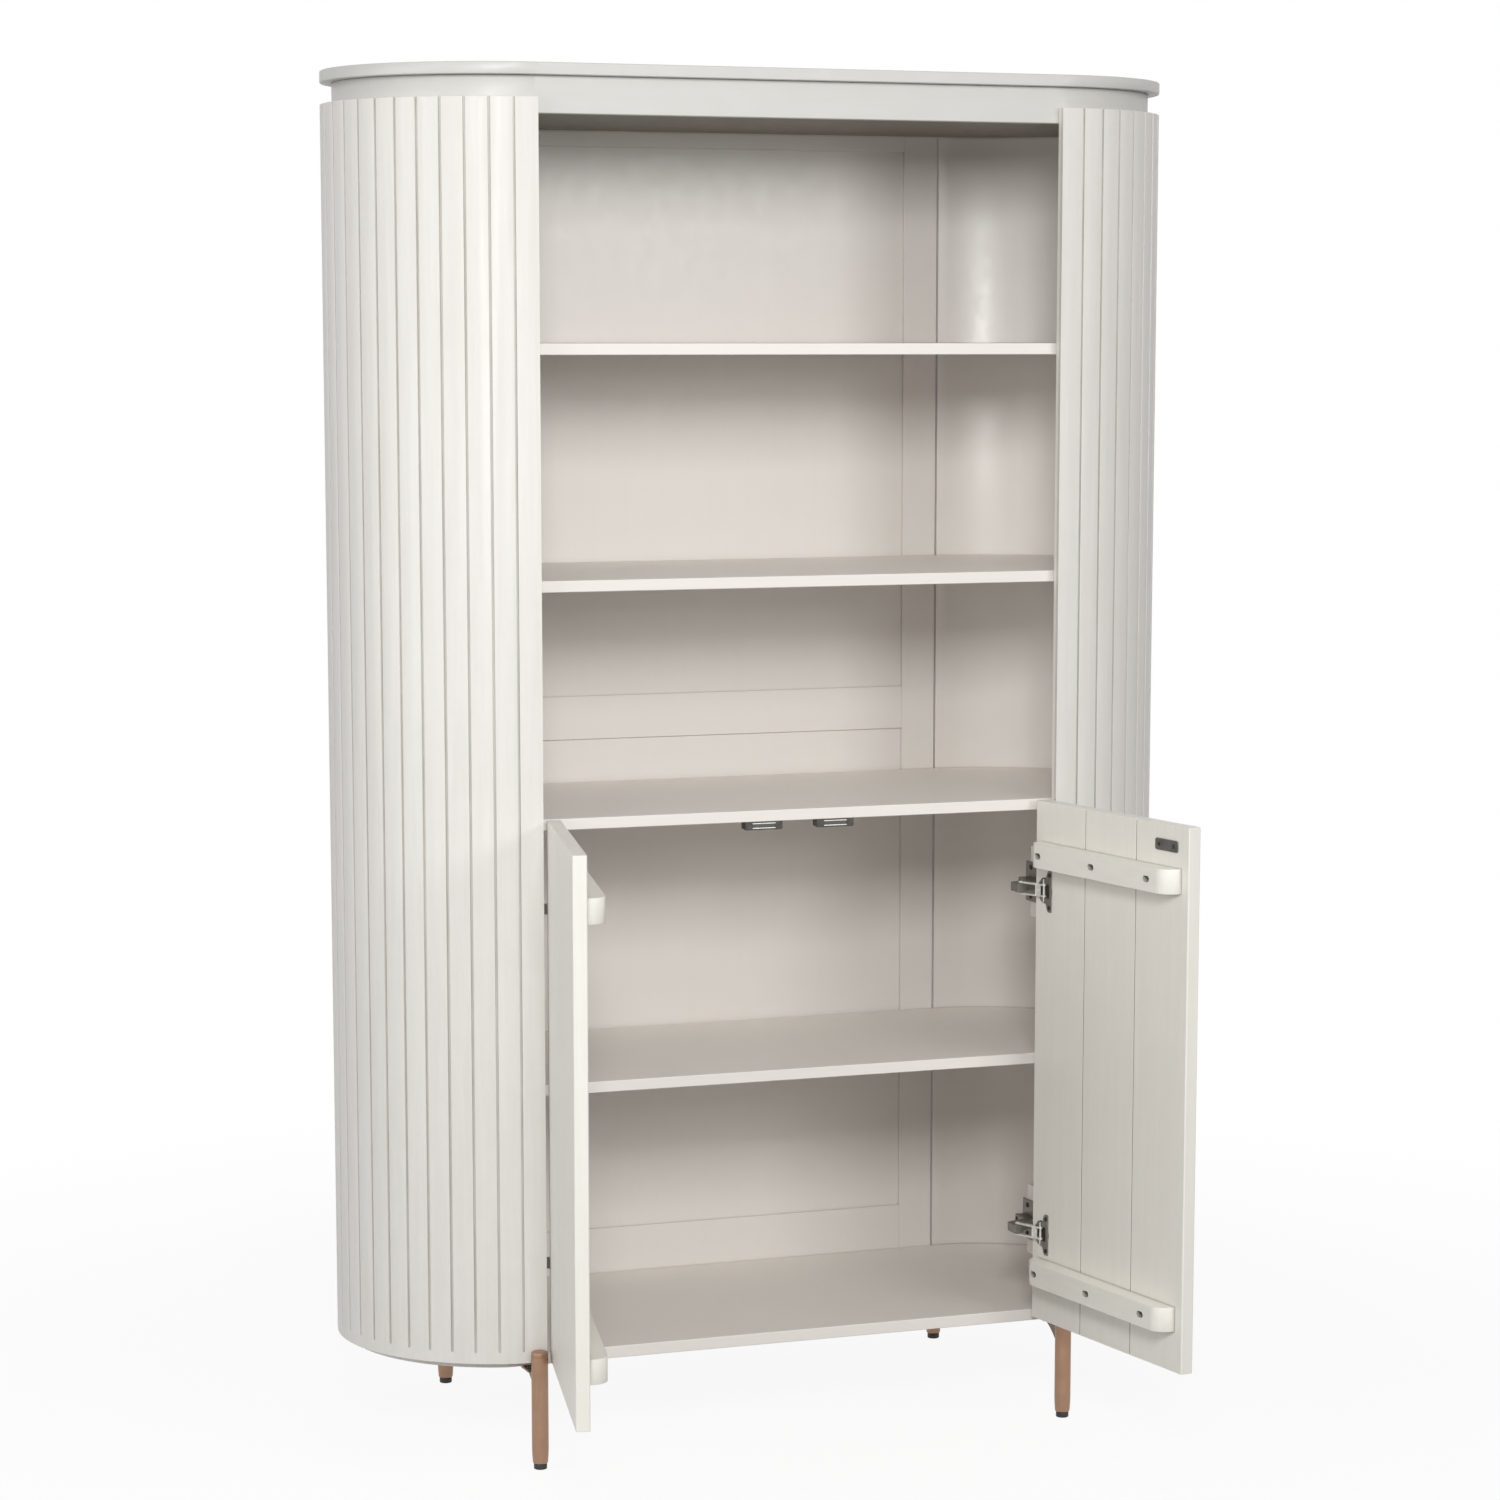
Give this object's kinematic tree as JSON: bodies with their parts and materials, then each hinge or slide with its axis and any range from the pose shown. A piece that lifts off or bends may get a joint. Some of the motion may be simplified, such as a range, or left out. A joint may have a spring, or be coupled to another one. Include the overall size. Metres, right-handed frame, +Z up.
{
  "type": "storage cabinet",
  "caption": "Tall storage cabinet with rounded fluted ends, open shelves over a two-door cupboard, on slim round metal legs.",
  "frame": {"origin": "floor level, midway between the two ends and midway between the front and back faces of the carcass", "axes": "+Z up, the front faces -Y, +X to the right as seen from the front"},
  "size_m": [1.154, 0.8016, 1.8],
  "materials": {
    "outer_paint": "warm off-white painted wood with a fine vertical brush grain",
    "inner_paint": "warm light grey satin painted wood",
    "door_paint": "warm off-white painted boards",
    "bronze_metal": "satin bronze lacquered steel tube",
    "black_plastic": "matt black plastic",
    "nickel_steel": "nickel plated steel",
    "zinc_steel": "zinc plated steel",
    "catch_plastic": "dark moulded plastic"
  },
  "bodies": {
    "carcass": {"back_bottom_rail": "inner_paint", "back_middle_rail": "inner_paint", "back_top_rail": "inner_paint", "band_under_top": "outer_paint", "bottom_board": "inner_paint", "ceiling_board": "inner_paint", "cupboard_shelf": "inner_paint", "door_head_shelf": "inner_paint", "foot_caps": "black_plastic", "left_back_leg": "bronze_metal", "left_back_leg_bracket": "bronze_metal", "left_back_stile": "inner_paint", "left_catch_housing": "catch_plastic", "left_catch_magnet": "zinc_steel", "left_end_liner": "inner_paint", "left_fluted_end_skin": "outer_paint", "left_front_leg": "bronze_metal", "left_front_leg_bracket": "bronze_metal", "left_hinge_arms": "nickel_steel", "left_hinge_blocks": "inner_paint", "left_hinge_plates": "nickel_steel", "lower_back_panel": "inner_paint", "middle_shelf": "inner_paint", "right_back_leg": "bronze_metal", "right_back_leg_bracket": "bronze_metal", "right_back_stile": "inner_paint", "right_catch_housing": "catch_plastic", "right_catch_magnet": "zinc_steel", "right_end_liner": "inner_paint", "right_fluted_end_skin": "outer_paint", "right_front_leg": "bronze_metal", "right_front_leg_bracket": "bronze_metal", "right_hinge_arms": "nickel_steel", "right_hinge_blocks": "inner_paint", "right_hinge_plates": "nickel_steel", "top_board": "outer_paint", "upper_back_panel": "inner_paint", "upper_shelf": "inner_paint"},
    "left_door": {"left_door_boards": "door_paint", "left_door_bottom_batten": "door_paint", "left_door_top_batten": "door_paint", "left_hinge_cups": "nickel_steel", "left_hinge_link_pins": "nickel_steel", "left_strike_plate": "zinc_steel"},
    "right_door": {"right_door_boards": "door_paint", "right_door_bottom_batten": "door_paint", "right_door_top_batten": "door_paint", "right_hinge_cups": "nickel_steel", "right_hinge_link_pins": "nickel_steel", "right_strike_plate": "zinc_steel"},
    "left_hinge_links": {"left_hinge_links": "nickel_steel"},
    "right_hinge_links": {"right_hinge_links": "nickel_steel"}
  },
  "joints": [
    {"name": "left_door_hinge", "type": "hinge", "parent": "carcass", "child": "left_door", "pos_m": [-0.3485, -0.2155, 0.49325], "axis": [0, 0, -1], "range_deg": [-102, 0]},
    {"name": "left_link_pivot", "type": "hinge", "parent": "left_door", "child": "left_hinge_links", "pos_m": [-0.33693, -0.23227, 0.49325], "axis": [0, 0, -1], "range_deg": [-0.5, 145.3]},
    {"name": "right_door_hinge", "type": "hinge", "parent": "carcass", "child": "right_door", "pos_m": [0.3485, -0.2155, 0.49325], "axis": [0, 0, 1], "range_deg": [-99, 0]},
    {"name": "right_link_pivot", "type": "hinge", "parent": "right_door", "child": "right_hinge_links", "pos_m": [0.33607, -0.23164, 0.49325], "axis": [0, 0, 1], "range_deg": [-0.5, 143]}
  ],
  "couplings": [
    {"joint": "left_link_pivot", "follows": "left_door_hinge", "ratio": -1.4196},
    {"joint": "right_link_pivot", "follows": "right_door_hinge", "ratio": -1.4394}
  ]
}
